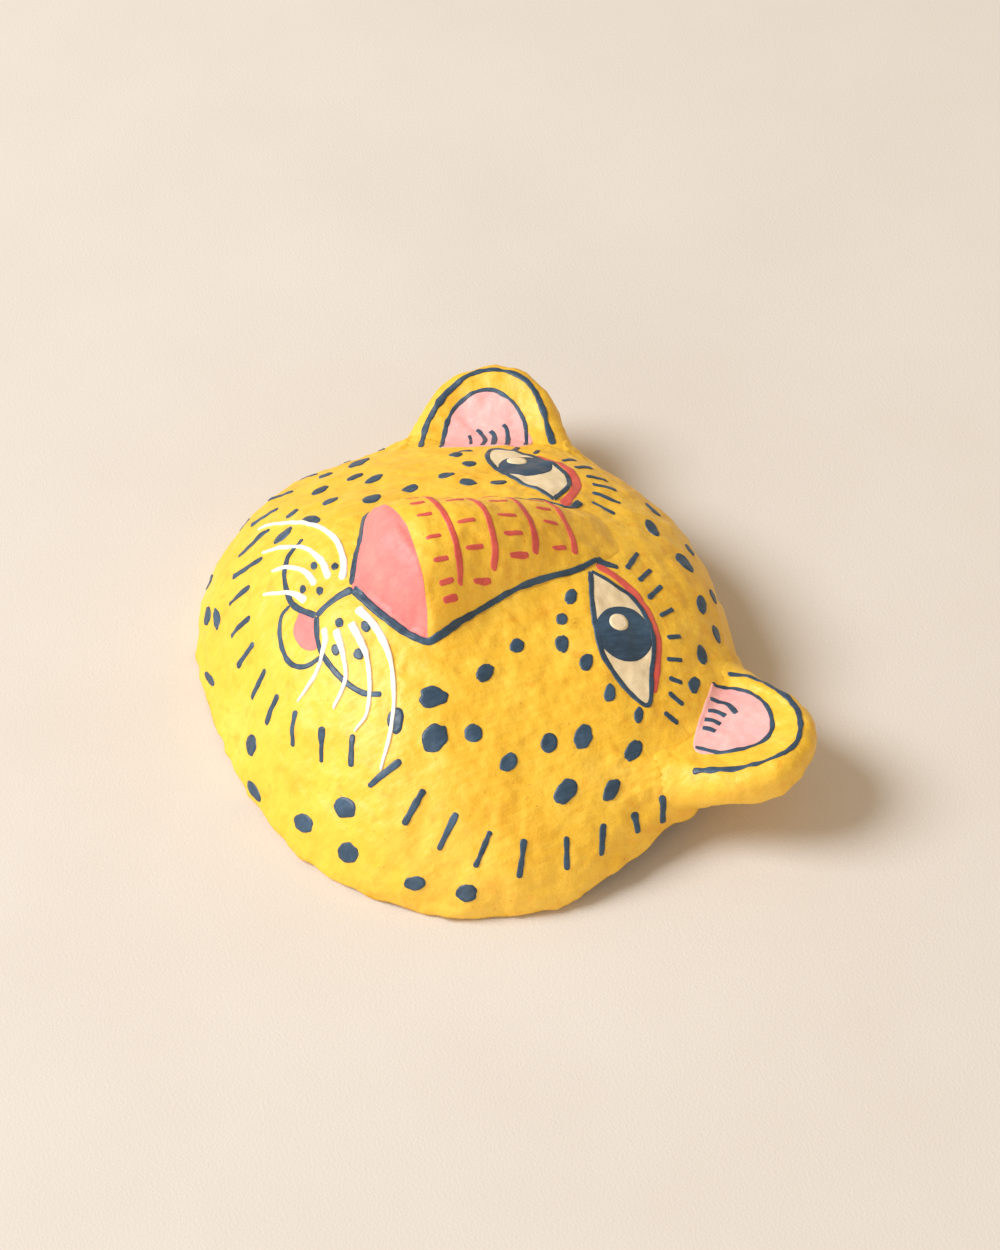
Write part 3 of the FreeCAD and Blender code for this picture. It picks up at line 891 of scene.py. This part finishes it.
class Coat:
    """One colour of paint: strokes and blobs gathered into one mesh."""

    def __init__(self, height):
        self.height = height
        self.points = []
        self.faces = []

    def grid(self, rows, closed=False):
        start = len(self.points)
        for row in rows:
            self.points += [tuple(p) for p in row]
        self.faces += grid_faces(len(rows), len(rows[0]), closed, start)

    def patch(self, rings, centre):
        """Closed rings of points round a hub."""
        start = len(self.points)
        count = len(rings[0])
        self.grid(rings, closed=True)
        hub = len(self.points)
        self.points.append(tuple(centre))
        self.faces += [(hub, start + c, start + (c + 1) % count) for c in range(count)]

    def stroke(self, surface, places, *widths, wobble=0.14):
        """A brush stroke through places, with its widths from one end to the other."""
        path, length = smooth_path([surface.start(p) for p in places], STROKE_STEP)
        steps = np.linspace(0, 1, len(widths))
        rows = []
        for i, point in enumerate(path):
            ahead = path[min(i + 1, len(path) - 1)] - path[max(i - 1, 0)]
            up = surface.direction(point)
            side = ahead.cross(up).normalized()
            share = i / (len(path) - 1)
            run = length * share
            width = float(np.interp(share, steps, widths))
            half = width / 2 * (1 + wobble * lump(point, *FINE_WOBBLE) + wobble * lump(point, *BROAD_WOBBLE))
            tip = min(run, length - run) / max(half, 0.01)
            half *= sqrt(max(1 - max(1 - tip, 0.0) ** 2, TIP_LEAST))
            drift = DRIFT_SHARE * wobble * width * lump(point, *DRIFT)
            row = []
            for offset, stands in STROKE_SECTION:
                height = self.height if stands and 0 < i < len(path) - 1 else EDGE_DIP
                row.append(surface.lay(point + side * (offset * half + drift), height))
            rows.append(row)
        self.grid(rows)

    def outline(self, surface, places, width):
        """A stroke round a closed outline."""
        self.stroke(surface, list(places) + [places[0]], width)

    def fill(self, surface, places, middle):
        """A patch of paint inside a closed outline that can be seen whole from its middle."""
        seeds = [surface.start(p) for p in places]
        path = smooth_path(seeds + [seeds[0]], FILL_STEP)[0][:-1]
        centre = surface.start(middle)
        spokes = [p - centre for p in path]
        count = max(int(max(spoke.length for spoke in spokes)), 3)
        rings = []
        for k in range(1, count + 1):
            rings.append([surface.lay(centre + spoke * (k / count), self.height) for spoke in spokes])
        beyond = [spoke * (1 + FILL_EDGE / spoke.length) for spoke in spokes]
        rings.append([surface.lay(centre + spoke, EDGE_DIP) for spoke in beyond])
        self.patch(rings, surface.lay(centre, self.height))

    def spot(self, surface, place, length, width, turn=0.0, wobble=0.16):
        """A dabbed spot with an uneven outline."""
        centre = surface.start(place)
        up = surface.direction(centre)
        across = Vector((1, 0, 0)) - up * up.x
        if across.length < SIDEWAYS_LEAST:
            across = Vector((0, 1, 0)) - up * up.y
        across.normalize()
        along = up.cross(across)
        if along.y < -BACKWARDS_MOST:
            along = -along
        turn = radians(turn)
        lengthways = across * cos(turn) + along * sin(turn)
        crossways = along * cos(turn) - across * sin(turn)
        count = max(SPOT_LEAST, round(length * SPOT_DENSITY))
        rim = []
        for i in range(count):
            a = 2 * pi * i / count
            ring = (cos(a) + place[0], sin(a) + place[1], 0)
            reach = 1 + wobble * (lump(ring, *SPOT_LUMPS) + NICK_SHARE * lump(ring, *SPOT_NICKS))
            c, s = cos(a) * length / 2 * reach, sin(a) * width / 2 * reach
            rim.append(lengthways * c + crossways * s)
        steps = max(SPOT_RINGS_LEAST, round(length / SPOT_RING))
        rings = []
        for share in [k / steps for k in range(1, steps)] + [SPOT_SHOULDER]:
            rings.append([surface.lay(centre + p * share, self.height) for p in rim])
        rings.append([surface.lay(centre + p, EDGE_DIP) for p in rim])
        self.patch(rings, surface.lay(centre, self.height))

    def make(self, name, material, slot):
        make_piece(name, self.points, self.faces, material, slot)


# ---- the painted marks
# Heights of the coats of paint over the paper.
BASE_COAT = 0.16
SECOND_COAT = 0.28
THIRD_COAT = 0.40
TOP_COAT = 0.52
SPOT_SPREAD = 1.08

# Forehead and cheek spots: x, y, length, width, and the turn of the length from the sideways line.
SPOTS = (
    (11, 72, 8, 6, 5), (28.5, 70, 7.5, 4, 165), (38, 71.5, 6, 4, 0), (47, 62, 6.5, 4, 175),
    (57, 54.5, 6, 4, 155), (-4, 67, 8.5, 3.5, 0), (22.5, 77, 6, 3.5, 165), (1.5, 78.5, 6, 3.5, 175),
    (-16.5, 73, 7, 3, 15), (25.5, 25.5, 5.5, 3.5, 150), (32, 20, 4, 3.5, 165), (39.5, 17, 5.5, 4, 160),
    (46.5, 22, 5.5, 4, 135), (57, 25.5, 5.5, 3.5, 155), (64.5, 32, 5, 3, 155), (73.5, 26.5, 7, 4.5, 135),
    (67, 12.5, 8, 5.5, 140), (82, 15.5, 7.5, 4.5, 135), (36.5, 3, 4.5, 4, 115), (66, 1.5, 6, 4.5, 140),
    (79.5, 1.5, 8.5, 5.5, 125), (42, -10, 6.5, 4.5, 115), (68, -13, 6.5, 4, 120), (57.5, -20, 6, 5, 150),
    (44.5, -28, 8.5, 6.5, 70), (55, -31.5, 9.5, 7, 125), (45.5, -41, 7.5, 5, 145),
    (-32.5, 25, 5, 3.5, 80), (-51, 22, 5, 3.5, 45), (-38, 16.5, 6, 4, 35), (-46, 12, 5, 4, 70),
    (-63, 25.5, 4.5, 3.5, 60), (-60, 21, 4.5, 3.5, 45), (-44.5, -1.5, 6, 5, 130), (-41, -16, 7.5, 5, 130),
    (-57.5, -9, 7, 4, 115), (-65, -13, 6.5, 3, 110), (-78, -7, 9, 6, 125), (-64.5, -26, 6.5, 4, 110),
    (-50.5, -27, 5.5, 4.5, 95), (-42, -36.5, 9, 4.5, 20), (-54.5, -39, 5, 3.5, 120),
    (-44.5, -46, 7.5, 6, 85), (-79, -19, 5, 4, 100),
)
# Spots round the lower edge: degrees from the forehead, height up the wall, length, width, turn.
EDGE_SPOTS = (
    (111.5, 11, 6, 5.5, 50), (121, 12, 6.5, 5, 40), (138.5, 26, 7.5, 6.5, 25), (135.5, 13.5, 7.5, 6, 60),
    (147, 12.5, 7.5, 6, 35), (164, 5, 8, 4, 0), (171.5, 14.5, 7.5, 6, 10), (209, 20, 8, 4, 170),
    (213, 14, 6, 5.5, 0), (225, 9, 7, 5, 0), (240, 14, 6, 5, 60), (197.5, 8, 8, 3, 20),
    (254, 9, 6, 5, 70), (268, 13, 6.5, 4, 60), (284, 10, 6, 5, 60), (345, 9, 7, 4, 0), (14, 7, 7, 4, 0),
    (330, 14, 6, 5, 0),
)
# Dashes that fringe the face: degrees and height up the wall at one end, then at the other.
FRINGE = (
    (70.5, 23, 72, 14), (76.5, 22.5, 77.5, 15.5), (83.5, 24, 86, 14.5), (91.5, 24.5, 93, 14),
    (100, 27, 102, 15), (106.5, 30.5, 110, 19), (113.5, 36, 117, 23.5), (121, 41.5, 124.5, 29),
    (127.5, 48, 134, 36), (142.5, 47.5, 139.5, 38.5), (152, 42.5, 148, 33), (162, 39, 158, 29),
    (170.5, 36.5, 169.5, 25), (180.5, 36.5, 179, 24.5), (190.5, 36.5, 190.5, 24.5),
    (199, 38.5, 199.5, 26.5), (209, 41, 209, 28.5), (217, 47, 217, 30.5), (228.5, 46.5, 222.5, 32.5),
    (238, 42, 234, 30), (247, 36, 244.5, 24), (256, 31, 254.5, 19.5), (265, 27.5, 264.5, 16),
    (273.5, 25, 273.5, 14.5), (281, 24, 282, 14),
)
# Lashes, the left eye's and then the right's: x and y of both ends.
LASHES = (
    (9.5, 56, 17, 48.5), (16.5, 57.5, 22, 50.5), (23.5, 58, 28.5, 51), (32, 58.5, 35, 52),
    (42, 56.5, 42.5, 51), (49.5, 54, 49, 48.5), (56.5, 51, 54.5, 47), (63, 48, 59, 44.5),
    (68, 44, 64.5, 40.5),
    (-10, 57, -16.5, 51), (-16, 61.5, -22, 53.5), (-23, 63, -27, 55.5), (-30.5, 63, -31, 55),
    (-39, 61, -37, 53.5), (-45.5, 58, -43.5, 52), (-54, 48, -51, 45.5), (-60.5, 43.5, -56.5, 40),
)
# x, y, width, height.
MUZZLE_DOTS = (
    (15.5, -39, 4, 3), (9, -45, 4, 3), (22, -44, 4, 3), (16, -49, 4, 3), (-12, -39, 3.5, 2.5),
    (-19, -44, 3.5, 2.5), (-7, -46, 3.5, 2.5), (-13.5, -50, 3.5, 2.5),
)
# The nose's outline, down each side and along the pad to the middle.
NOSE_SIDE = (
    (13, 40), (16.5, 30.5), (18, 19.5), (20, 8), (23, -3), (26, -12), (28.5, -19.5), (28.5, -24.5),
    (21.5, -30), (11.5, -34.5), (0.5, -37.5),
)
NOSE_SIDE_RIGHT = (
    (-10, 39), (-16.5, 30.5), (-18, 19.5), (-20, 8), (-23, -3), (-26, -12), (-28.5, -18.5),
    (-27.5, -22.5), (-23, -25), (-18.5, -27.5), (-8, -33.5), (-0.5, -37),
)
# The pink of the pad runs down to its outline.
PAD_FOOT = ((27.5, -24), (21, -29), (11.5, -33), (0.5, -36), (-8, -32), (-18, -26.5), (-22.5, -24))
BROW_LEFT = ((13, 39.5), (16.5, 46))
BROW_RIGHT = ((-10, 39), (-16, 47))
SMILE_LEFT = ((0.5, -50), (8, -52.5), (17, -52.5), (26, -50.5), (33, -47), (37, -42))
SMILE_RIGHT = ((0.5, -50), (-8, -53.5), (-14.5, -54.5), (-22, -53), (-30, -48.5), (-34, -42))
PHILTRUM = ((0.5, -37.5), (0, -44), (0.5, -50))
LOWER_LIP = ((14, -53.5), (12.5, -58), (7, -61), (0.5, -61.5), (-6, -60.5), (-10.5, -58), (-12, -55))
TONGUE = ((-6, -53.5), (-3, -51.5), (0.5, -50.5), (5, -52), (10, -53.5), (8, -56), (3, -57.5), (-3, -57))
WHISKERS = (
    ((8, -39), (17, -36.5), (28, -36), (39.5, -39), (48.5, -44), (55, -49.5)),
    ((11.5, -42), (23, -42), (33, -44.5), (39, -48), (41, -53)),
    ((10, -46.5), (19.5, -48), (27, -50.5), (31, -56)),
    ((6, -49.5), (11.5, -51), (17, -56), (19.5, -63.5)),
    ((-5, -39), (-12, -36), (-23, -34.5), (-34.5, -36), (-45.5, -40), (-53.5, -44.5), (-58.5, -49.5)),
    ((-9, -42), (-19, -41.5), (-29, -43.5), (-36.5, -48), (-44, -53.5)),
    ((-11, -46.5), (-19, -47), (-25.5, -50), (-31, -54.5)),
    ((-7.5, -50.5), (-15.5, -53), (-21, -56.5), (-25, -59.5)),
)
# Each eye: the outline from the inner corner over the top, and what lies in it.
EYES = {
    "left": {
        "white": ((17, 36), (23, 41), (28, 45.5), (37, 47), (45, 45.5), (53, 41.5), (62, 36.5),
                  (58, 32), (50.5, 29), (44, 28), (36, 29.5), (27, 32)),
        "pupil": (40, 37.5, 20), "glint": (36.5, 37, 6.5), "lid width": 3.5,
        "lid": ((14.5, 39), (21, 44), (28, 47.5), (37, 48.5), (44, 47.5), (52, 44), (59, 39.5)),
    },
    "right": {
        "white": ((-17, 38), (-19, 39.5), (-24.5, 46), (-32, 48.5), (-43, 46), (-53, 41.5), (-59.5, 35),
                  (-55.5, 30.5), (-49, 28.5), (-40, 29.5), (-30, 32), (-23, 36)),
        "pupil": (-41.5, 38, 18.5), "glint": (-46, 37, 7), "lid width": 4,
        "lid": ((-14.5, 40), (-23, 48), (-31, 51), (-42, 49), (-49, 44.5)),
    },
}
# Cross stripes of the nose: near the middle and at the side.
NOSE_STRIPES = (
    ((5, 34.5), (12.5, 32.5)), ((5, 21.5), (13.5, 18.5)), ((8, 7), (17, 3)), ((9, -6), (20.5, -9.5)),
)
# Rows of short dashes between the stripes: y of both ends, and the x places.
NOSE_DASHES = (
    (31, 26, (-10.5, -4, 2.5, 10.5)), (17, 10.5, (-13, -6, 2, 8, 13.5)),
    (2.5, -3.5, (-14, -7, 4, 11.5, 18.5)), (-10, -15, (-20, -14.5, -8.5, -1.5, 7, 14, 19, 22.5)),
)
STRIPE_BEND = 0.4           # how far along its fall a stripe is halfway to the side
STRIPE_DROP = 0.3           # its middle leans down to the right
DASH_OVERRUN = 0.3
DASH_SLOPE = 0.05           # each row of dashes leans down to the left
DASH_SPREAD = 1.04          # and spreads towards the pad


def paint_navy():
    coat = Coat(SECOND_COAT)
    for x, y, length, width, turn in SPOTS:
        coat.spot(FACE, (x, y), length * SPOT_SPREAD, width * SPOT_SPREAD, turn)
    for angle, up, length, width, turn in EDGE_SPOTS:
        coat.spot(RIM, (angle, up), length * SPOT_SPREAD, width * SPOT_SPREAD, turn)
    for x, y, width, height in MUZZLE_DOTS:
        coat.spot(FACE, (x, y), width, height)
    coat.make("navy_spots", NAVY, "painted_shell")
    coat = Coat(SECOND_COAT)
    for a0, up0, a1, up1 in FRINGE:
        coat.stroke(RIM, ((a0, up0), (a1, up1)), 2.4, 2.0, 1.9, wobble=0.2)
    for x0, y0, x1, y1 in LASHES:
        coat.stroke(FACE, ((x0, y0), (x1, y1)), 1.6, 1.8)
    coat.make("navy_dashes", NAVY, "painted_shell")


def paint_nose():
    coat = Coat(THIRD_COAT)
    coat.stroke(FACE, NOSE_SIDE, 1.7, 1.9, 2.3, 2.8)
    coat.stroke(FACE, NOSE_SIDE_RIGHT, 1.7, 2.0, 2.8, 2.8)
    coat.stroke(FACE, BROW_LEFT, 3.2, 2.0)
    coat.stroke(FACE, BROW_RIGHT, 2.0, 3.2)
    coat.make("nose_outline", NAVY, "painted_nose")
    coat = Coat(BASE_COAT)
    coat.stroke(FACE, PAD_FOOT, 3.0, 3.8, 3.4, 2.6)
    coat.make("pad_foot", ROSE, "pink_pad")
    coat = Coat(BASE_COAT)
    for (x0, y0), (x1, y1) in NOSE_STRIPES:
        between = ((x0 + x1) / 2, y0 + (y1 - y0) * STRIPE_BEND)
        left = ((x1, y1), between, (x0 / 2, y0 - STRIPE_DROP))
        right = ((-x0 / 2, y0 - 2 * STRIPE_DROP), (-between[0], between[1]), (-x1, y1))
        coat.stroke(NOSE, left + right, 2.2, 2.2)
    for start, end, places in NOSE_DASHES:
        for x in places:
            top = start + DASH_OVERRUN - DASH_SLOPE * x
            foot = end - DASH_OVERRUN - DASH_SLOPE * x
            coat.stroke(NOSE, ((x, top), (x * DASH_SPREAD, foot)), 1.1, 1.6, 1.5, 1.0)
    coat.make("nose_stripes", RED, "painted_nose")


def paint_mouth():
    coat = Coat(BASE_COAT)
    coat.fill(FACE, TONGUE, (2, -54))
    coat.make("tongue", ROSE, "painted_shell")
    coat = Coat(SECOND_COAT)
    coat.stroke(FACE, PHILTRUM, 2.7, 2.3)
    coat.stroke(FACE, SMILE_LEFT, 2.2, 1.8)
    coat.stroke(FACE, SMILE_RIGHT, 2.2, 1.8)
    coat.stroke(FACE, LOWER_LIP, 1.8, 1.6)
    coat.make("mouth_lines", NAVY, "painted_shell")
    coat = Coat(TOP_COAT)
    for whisker in WHISKERS:
        coat.stroke(FACE, whisker, 2.8, 2.4, 1.6, 1.5, 1.3, 0.8)
    coat.make("whiskers", IVORY, "painted_shell")


def paint_eye(key):
    eye = EYES[key]
    coat = Coat(BASE_COAT)
    coat.stroke(FACE, eye["lid"], eye["lid width"], 2.2)
    coat.make(f"eye_{key}_lid", RED, "painted_shell")
    coat = Coat(SECOND_COAT)
    coat.fill(FACE, eye["white"], eye["pupil"][:2])
    coat.make(f"eye_{key}_white", CREAM, "painted_shell")
    coat = Coat(THIRD_COAT)
    x, y, width = eye["pupil"]
    coat.spot(FACE, (x, y), width, width, wobble=0.02)
    coat.outline(FACE, eye["white"], 1.7)
    coat.make(f"eye_{key}_navy", NAVY, "painted_shell")
    coat = Coat(TOP_COAT)
    x, y, width = eye["glint"]
    coat.spot(FACE, (x, y), width, width, wobble=0.04)
    coat.make(f"eye_{key}_glint", CREAM, "painted_shell")


# Marks in each ear's own frame: across the ear, and out from its root line.
EAR_MARKS = {
    "left": {
        "inner": ((-13, -0.5), (-16.5, 5), (-16.5, 12), (-11, 20.5), (-2, 25), (5, 22), (10, 15), (12, 5.5)),
        "outer": (
            (-20.5, 1), (-23, 9), (-20, 19), (-14, 28.5), (-5, 34), (3, 34.5), (11, 30), (17, 21.5),
            (22, 10)),
        "dashes": (
            ((-7.5, 1), (-8.5, 3), (-9, 7), (-6, 11.5)), ((-3, 2.5), (-4.5, 5), (-4, 9)),
            ((0.5, 3), (-0.5, 6), (-0.5, 9)), ((4, 4), (3, 6.5), (3, 9))),
    },
    "right": {
        "inner": (
            (13, -0.5), (14.5, 7), (13.5, 16), (11, 22), (5, 26.5), (-2, 27), (-9, 21.5), (-13, 13.5),
            (-14.5, 3)),
        "outer": (
            (20.5, 0.5), (21.5, 8), (19.5, 17), (14.5, 26), (7, 33), (-2, 35), (-11.5, 31), (-17.5, 22.5),
            (-20.5, 13.5), (-23.5, 5)),
        "dashes": (
            ((6, 9.5), (5, 7), (4, 3)), ((4, 12), (2, 10.5), (-0.5, 5.5), (0, 1.5)),
            ((-1, 11.5), (-3, 8.5), (-4, 1.5)), ((-5, 14), (-6.5, 12.5), (-7.5, 9), (-8.5, 1.5))),
    },
}


def paint_ear(key):
    surface = EAR_FACES[key]
    marks = EAR_MARKS[key]
    coat = Coat(BASE_COAT)
    coat.fill(surface, marks["inner"], (0, 10))
    coat.make(f"ear_{key}_pink", PINK, "painted_ears")
    coat = Coat(SECOND_COAT)
    coat.stroke(surface, marks["inner"], 1.6, 1.6, wobble=0.3)
    coat.stroke(surface, marks["outer"], 2.0, 2.0, wobble=0.3)
    for dash in marks["dashes"]:
        coat.stroke(surface, dash, 1.6, 1.8, wobble=0.2)
    coat.make(f"ear_{key}_navy", NAVY, "painted_ears")


paint_navy()
paint_nose()
paint_mouth()
for key in EARS:
    paint_eye(key)
    paint_ear(key)


# ---- CAD nodes that stay
FINISHES = {
    "rim_band": PAPER, "nose_former": CARD, "hanger_wire": STEEL,
    "ear_core_left": CARD, "ear_core_right": CARD,
    "ear_tab_patch_left": PATCH_PAPER, "ear_tab_patch_right": PATCH_PAPER,
    "hanger_patch_left": PATCH_PAPER, "hanger_patch_right": PATCH_PAPER,
}
for name, material in FINISHES.items():
    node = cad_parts[name]
    node.data.materials.clear()
    node.data.materials.append(material)


# ---- stage, light and camera
CAMERA_TARGET = (-18.2, 19.6, 0.0)
CAMERA_AZIMUTH = 67.81
CAMERA_ELEVATION = 47.0
CAMERA_DISTANCE = 1069.3
CAMERA_LENS = 92.39
SENSOR_WIDTH = 36.0
FLOOR_HALF = 3.0            # metres
FLOOR_DROP = 0.0002
# Lights: azimuth, elevation, distance, size, power and colour.
LIGHTS = {
    "key": (-20, 45, 3.6, 1.9, 132, (0.95, 0.985, 1.0)),
    "fill": (52, 18, 3.6, 1.6, 26, (1.0, 0.97, 0.9)),
}
WORLD_COLOUR = (255, 233, 200)
WORLD_STRENGTH = 0.5


def toward(azimuth, elevation):
    """Azimuth runs from the chin's side towards +X."""
    a, e = radians(azimuth), radians(elevation)
    return Vector((sin(a) * cos(e), -cos(a) * cos(e), sin(e)))


def add_floor():
    n = Nodes("pale_floor")
    cloth = n.noise(0.9, detail=3)
    broad = n.noise(90, detail=3)
    colour = n.ramp(broad, ((0.3, srgb(219, 211, 205)), (0.7, srgb(223, 216, 211))))
    n.finish(colour, 0.9, n.bump(cloth, 0.12), specular=0.15)
    corners = [(x * FLOOR_HALF, y * FLOOR_HALF, 0) for x, y in ((-1, -1), (1, -1), (1, 1), (-1, 1))]
    mesh = bpy.data.meshes.new("floor")
    mesh.from_pydata(corners, [], [(0, 1, 2, 3)])
    mesh.materials.append(n.material)
    floor = bpy.data.objects.new("floor", mesh)
    floor.location.z = -FLOOR_DROP
    bpy.context.scene.collection.objects.link(floor)


def add_aimed(name, data, direction, place):
    """Puts a lamp or a camera at a place, looking back along the direction."""
    thing = bpy.data.objects.new(name, data)
    thing.location = place
    thing.rotation_mode = "QUATERNION"
    thing.rotation_quaternion = (-direction).to_track_quat("-Z", "Y")
    bpy.context.scene.collection.objects.link(thing)
    return thing


def add_light(name, azimuth, elevation, distance, size, power, colour):
    data = bpy.data.lights.new(name, "AREA")
    data.shape = "DISK"
    data.size = size
    data.energy = power
    data.color = colour
    direction = toward(azimuth, elevation)
    add_aimed(name, data, direction, direction * distance)


def add_world():
    world = bpy.data.worlds.new("studio")
    world.use_nodes = True
    background = world.node_tree.nodes["Background"]
    background.inputs["Color"].default_value = srgb(*WORLD_COLOUR)
    background.inputs["Strength"].default_value = WORLD_STRENGTH
    bpy.context.scene.world = world


def add_camera():
    data = bpy.data.cameras.new("camera")
    data.lens = CAMERA_LENS
    data.sensor_width = SENSOR_WIDTH
    direction = toward(CAMERA_AZIMUTH, CAMERA_ELEVATION)
    target = Vector(to_frame([CAMERA_TARGET])[0])
    place = target + direction * CAMERA_DISTANCE * MM
    bpy.context.scene.camera = add_aimed("camera", data, direction, place)


add_floor()
add_world()
for name, values in LIGHTS.items():
    add_light(name, *values)
add_camera()
bpy.context.scene.view_settings.view_transform = "Standard"
